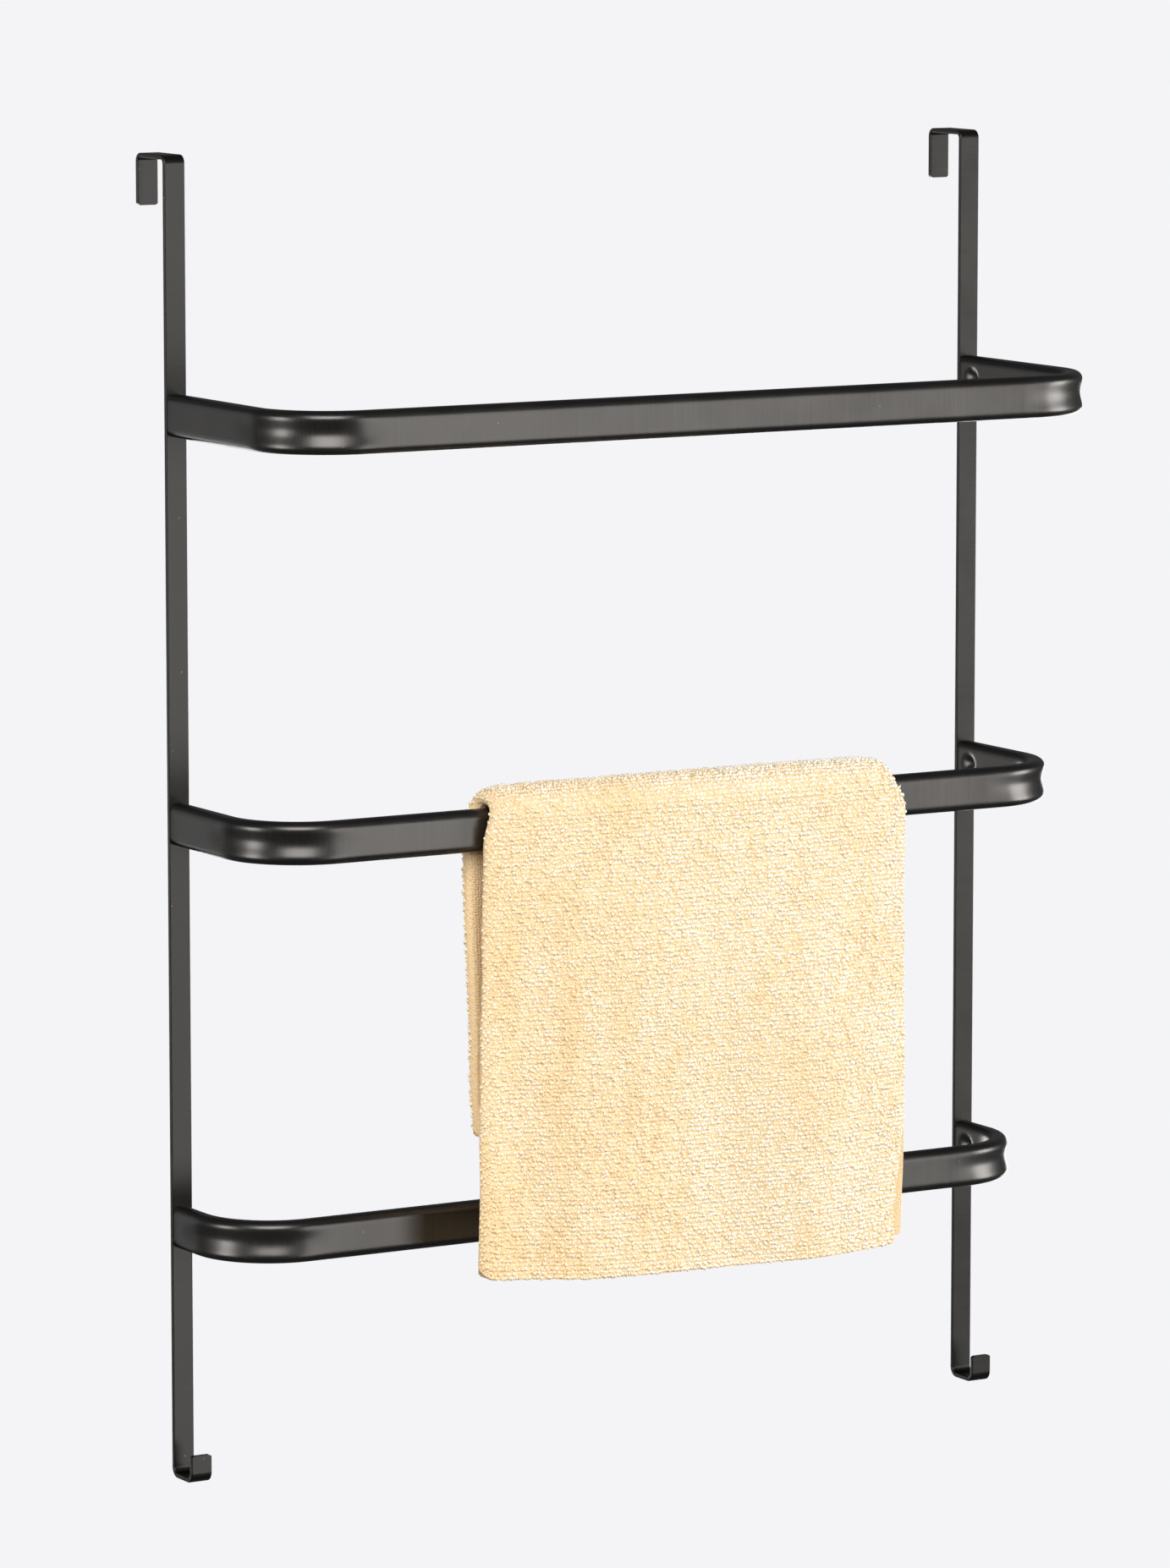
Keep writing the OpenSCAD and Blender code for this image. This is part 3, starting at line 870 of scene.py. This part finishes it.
def towel_cloth(drape, towel):
    """The folded sheet, with its UV map in metres and then its thickness."""
    front = cloth_shares(FRONT_RUN, towel.cell)
    back = cloth_shares(BACK_RUN, towel.cell)
    shares = [-value for value in reversed(back[1:])] + front
    widths = cloth_widths(towel)
    rows = [[drape.point(across, share)[0] for across in widths] for share in shares]
    mesh = grid_mesh("towel_cloth", rows)
    uv = mesh.uv_layers.new(name="cloth")
    for loop in mesh.loops:
        row, column = divmod(loop.vertex_index, len(widths))
        along = shares[row] * (FRONT_RUN if shares[row] > 0 else BACK_RUN)
        uv.data[loop.index].uv = (widths[column], along)
    cloth = make_object("towel_cloth", mesh)
    cloth.data.materials.append(terry_ground(towel))
    thick = cloth.modifiers.new("thickness", "SOLIDIFY")
    thick.thickness = towel.layer
    thick.offset = 0
    apply_modifiers(cloth)
    shade_smooth(cloth.data, CLOTH_SHARP_ANGLE)
    return cloth


def loop_tree(sizes):
    """Stands one small tuft of yarn on each point, each turned, sized and tinted by chance."""
    tree, given, result = new_geometry_tree("terry_loops", sizes)
    normal = add_node(tree, "GeometryNodeInputNamedAttribute", {"data_type": "FLOAT_VECTOR"},
                      {"Name": "outward"})
    up = add_node(tree, "FunctionNodeAlignRotationToVector", {"axis": "Z"},
                  {"Vector": normal.outputs["Attribute"]})
    level = add_node(tree, "FunctionNodeAlignRotationToVector", {"axis": "X", "pivot_axis": "Z"},
                     {"Rotation": up.outputs[0], "Vector": (1, 0, 0)})
    tilt = add_node(tree, "FunctionNodeRandomValue", {"data_type": "FLOAT_VECTOR"},
                    {"Min": (-0.3, -0.3, -0.6), "Max": (0.5, 0.3, 0.6), "Seed": 3})
    turn = add_node(tree, "FunctionNodeEulerToRotation", None, {0: tilt.outputs[0]})
    turned = add_node(tree, "FunctionNodeRotateRotation", {"rotation_space": "LOCAL"},
                      {"Rotation": level.outputs[0], "Rotate By": turn.outputs[0]})
    shift = add_node(tree, "FunctionNodeRandomValue", {"data_type": "FLOAT_VECTOR"},
                     {"Min": (-1, -1, -1), "Max": (1, 1, 1), "Seed": 7})
    scatter = add_node(tree, "ShaderNodeVectorMath", {"operation": "SCALE"},
                       {0: shift.outputs[0], "Scale": given["Scatter"]})
    moved = add_node(tree, "GeometryNodeSetPosition", None,
                     {"Geometry": given["Geometry"], "Offset": scatter.outputs[0]})
    tuft = add_node(tree, "GeometryNodeMeshUVSphere", None, {"Segments": 4, "Rings": 2, "Radius": 1.0})
    half = add_node(tree, "ShaderNodeCombineXYZ", None,
                    {"X": given["Half width"], "Y": given["Half length"], "Z": given["Height"]})
    shaped = add_node(tree, "GeometryNodeTransform", None,
                      {"Geometry": tuft.outputs["Mesh"], "Scale": half.outputs[0]})
    size = add_node(tree, "FunctionNodeRandomValue", {"data_type": "FLOAT_VECTOR"},
                    {"Min": (0.75, 0.8, 0.6), "Max": (1.2, 1.2, 1.35), "Seed": 11})
    tufts = add_node(tree, "GeometryNodeInstanceOnPoints", None,
                     {"Points": moved.outputs[0], "Instance": shaped.outputs[0],
                      "Rotation": turned.outputs[0], "Scale": size.outputs[0]})
    chance = add_node(tree, "FunctionNodeRandomValue", {"data_type": "FLOAT"}, {"Seed": 19})
    tinted = add_node(tree, "GeometryNodeStoreNamedAttribute",
                      {"data_type": "FLOAT", "domain": "INSTANCE"},
                      {"Geometry": tufts.outputs[0], "Name": "tint", "Value": chance.outputs[1]})
    end_geometry_tree(tree, tinted.outputs[0], given, result)
    return tree


def add_front_map(mesh, name):
    """A UV map that sees the mesh from the front, in the unit square. No material reads it: it
    is for baking the loops, which are too many to unwrap."""
    points = [vertex.co for vertex in mesh.vertices]
    low_x, low_z = min(point.x for point in points), min(point.z for point in points)
    width = max(point.x for point in points) - low_x
    height = max(point.z for point in points) - low_z
    uv = mesh.uv_layers.new(name=name)
    for loop in mesh.loops:
        point = points[loop.vertex_index]
        uv.data[loop.index].uv = ((point.x - low_x) / width, (point.z - low_z) / height)


def towel_loops(name, drape, towel, side, run, tree, sizes, material):
    """The loops on the outer face of the towel, in staggered rows across it. side is 1 for the
    front and -1 for the back, and run is about how far that half of the cloth runs."""
    rows = round(run / towel.row_spacing)
    columns = round(towel.width / 2 / towel.loop_spacing)
    places = []
    directions = []
    for row in range(rows):
        for column in range(columns):
            across = towel.width / 2 * (column + 0.25 + row % 2 / 2) / columns
            place, direction = drape.point(across, side * (row + 0.5) / rows, towel.layer / 2)
            places.append(place)
            directions.append(direction)
    mesh = bpy.data.meshes.new(name)
    mesh.from_pydata(places, [], [])
    outward = mesh.attributes.new("outward", "FLOAT_VECTOR", "POINT")
    outward.data.foreach_set("vector", [value for direction in directions for value in direction])
    loops = make_object(name, mesh)
    run_geometry_tree(loops, tree, {**sizes, "Material": material})
    loops.data.polygons.foreach_set("use_smooth", [True] * len(loops.data.polygons))
    add_front_map(loops.data, "OFBake")
    return loops


class RACK_OT_towel(bpy.types.Operator):
    """Folds a terry towel in half and drapes it over the middle rail"""

    bl_idname = "rack.towel"
    bl_label = "Drape Towel"

    def execute(self, context):
        towel, rail = context.scene.rack_towel, context.scene.rack_rails
        drape = Drape(towel, rail)
        cloth = towel_cloth(drape, towel)
        sizes = {"Half width": towel.loop_spacing * HALF_WIDTH_SHARE,
                 "Half length": towel.row_spacing * HALF_LENGTH_SHARE,
                 "Height": towel.loop_height, "Scatter": towel.loop_scatter}
        tree = loop_tree(sizes)
        material = terry_loops(towel)
        loops = [towel_loops("towel_loops_front", drape, towel, 1, FRONT_RUN, tree, sizes, material),
                 towel_loops("towel_loops_back", drape, towel, -1, BACK_RUN, tree, sizes, material)]
        for piece in (cloth, *loops):
            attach(piece, "folded_towel")
        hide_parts("towel")
        return {"FINISHED"}


# ---- Stage -----------------------------------------------------------------------------

# Name, azimuth and elevation in degrees, distance and size in metres, and power in watts. The
# front and right boxes are what the rails' faces and bends mirror
LAMPS = (
    ("right_box", 59, 0, 3.0, (1.3, 1.6), 60),
    ("left_box", -90, 0, 3.0, (0.9, 1.6), 36),
    ("front_box", 22, -6.3, 3.2, (1.2, 2.1), 25),
    ("key_box", -30, 30, 4.5, (3.0, 3.0), 186),
    ("back_left_box", -150, 0, 4.0, (2.4, 2.4), 6),
    ("back_box", 178, -15, 3.0, (1.6, 1.1), 26),
    ("back_right_box", 140, -15, 3.0, (1.6, 1.1), 26),
)
# Half the floor's side, half the tent's side, the tent's top and its gap to the floor, in metres
FLOOR_REACH = 300
TENT_REACH = 6.5
TENT_TOP = 6.5
TENT_GAP = 0.2
# A square's corners as shares of half its side
SQUARE = ((-1, -1), (1, -1), (1, 1), (-1, 1))


def look_at(made, target):
    """Turns a light or camera so that it looks at target."""
    made.rotation_euler = (Vector(target) - made.location).to_track_quat("-Z", "Y").to_euler()


def around(target, azimuth, elevation, distance):
    """The point at that distance from target, at azimuth from -Y towards +X."""
    back = Vector((math.sin(azimuth) * math.cos(elevation),
                   -math.cos(azimuth) * math.cos(elevation),
                   math.sin(elevation)))
    return Vector(target) + back * distance


def soft_box(name, target, azimuth, elevation, distance, size, power):
    """A rectangular area light that looks at target. Angles are in degrees."""
    light = bpy.data.lights.new(name, "AREA")
    light.shape = "RECTANGLE"
    light.size, light.size_y = size
    light.energy = power
    made = bpy.data.objects.new(name, light)
    bpy.context.scene.collection.objects.link(made)
    made.location = around(target, math.radians(azimuth), math.radians(elevation), distance)
    look_at(made, target)
    made.visible_camera = False


def plain_mesh(name, corners, faces, colour):
    """A stage object that glows evenly in a colour and takes no light."""
    material, _, shader = new_material(name)
    shader.inputs["Base Color"].default_value = linear("#000000")
    shader.inputs["Roughness"].default_value = 1.0
    shader.inputs["Specular IOR Level"].default_value = 0.0
    shader.inputs["Emission Color"].default_value = tuple(colour)
    shader.inputs["Emission Strength"].default_value = 1.0
    mesh = bpy.data.meshes.new(name)
    mesh.from_pydata(corners, [], faces)
    mesh.materials.append(material)
    made = make_object(name, mesh)
    return made


def pale_surroundings(colour, height):
    """A wide pale floor under a sky of the same colour."""
    world = bpy.data.worlds.new("studio")
    world.use_nodes = True
    world.node_tree.nodes["Background"].inputs["Color"].default_value = tuple(colour)
    bpy.context.scene.world = world
    corners = [(x * FLOOR_REACH, y * FLOOR_REACH, height) for x, y in SQUARE]
    plain_mesh("floor", corners, [(0, 1, 2, 3)], colour)


def dark_tent(middle, low, colour):
    """A dim tent round the rack and its lamps, so that the coated steel mirrors the lamps on a
    dark ground. The camera looks through it."""
    corners = [(middle.x + x * TENT_REACH, middle.y + y * TENT_REACH, z)
               for z in (low, TENT_TOP) for x, y in SQUARE]
    faces = [(0, 1, 2, 3), (4, 5, 6, 7)] + [(i, (i + 1) % 4, (i + 1) % 4 + 4, i + 4) for i in range(4)]
    tent = plain_mesh("tent", corners, faces, colour)
    tent.visible_camera = False


class RACK_OT_stage(bpy.types.Operator):
    """Sets up the floor, the lights and the camera"""

    bl_idname = "rack.stage"
    bl_label = "Set Stage"

    def execute(self, context):
        stage = context.scene.rack_stage
        low, high = CAD_BOX
        middle = Vector((0, 0, (low.z + high.z) / 2))
        pale_surroundings(stage.backdrop, -stage.floor_drop)
        dark_tent(middle, TENT_GAP - stage.floor_drop, stage.tent)
        for name, azimuth, elevation, distance, size, power in LAMPS:
            soft_box(name, middle, azimuth, elevation, distance, size, power)
        camera = bpy.data.objects.new("camera", bpy.data.cameras.new("camera"))
        context.scene.collection.objects.link(camera)
        right = Vector((math.cos(stage.azimuth), math.sin(stage.azimuth), 0))
        back = around((0, 0, 0), stage.azimuth, stage.elevation, 1)
        up = back.cross(right)
        aim = Vector((0, 0, high.z)) + right * stage.aim_right - up * stage.aim_down
        camera.location = aim + back * stage.distance
        look_at(camera, aim)
        camera.data.lens = stage.lens
        camera.data.clip_end = 2 * FLOOR_REACH
        context.scene.camera = camera
        context.scene.view_settings.view_transform = "Standard"
        return {"FINISHED"}


# ---- Add-on ----------------------------------------------------------------------------

OPERATORS = (RACK_OT_strips, RACK_OT_rails, RACK_OT_fixings, RACK_OT_towel, RACK_OT_stage)


class RACK_PT_panel(bpy.types.Panel):
    """Lists the rack's operators and settings"""

    bl_idname = "RACK_PT_panel"
    bl_label = "Towel Rack"
    bl_space_type = "VIEW_3D"
    bl_region_type = "UI"
    bl_category = "Towel Rack"

    def draw(self, context):
        for operator in OPERATORS:
            self.layout.operator(operator.bl_idname)
        for group, kind in GROUPS.items():
            box = self.layout.box()
            for name in kind.__annotations__:
                box.prop(getattr(context.scene, group), name)


def register():
    for kind in (*GROUPS.values(), *OPERATORS, RACK_PT_panel):
        bpy.utils.register_class(kind)
    for name, kind in GROUPS.items():
        setattr(bpy.types.Scene, name, bpy.props.PointerProperty(type=kind))


def unregister():
    for name in GROUPS:
        delattr(bpy.types.Scene, name)
    for kind in reversed((*GROUPS.values(), *OPERATORS, RACK_PT_panel)):
        bpy.utils.unregister_class(kind)


def main():
    register()
    bpy.ops.rack.strips()
    bpy.ops.rack.rails()
    bpy.ops.rack.fixings()
    bpy.ops.rack.towel()
    bpy.ops.rack.stage()


if __name__ == "__main__":
    main()
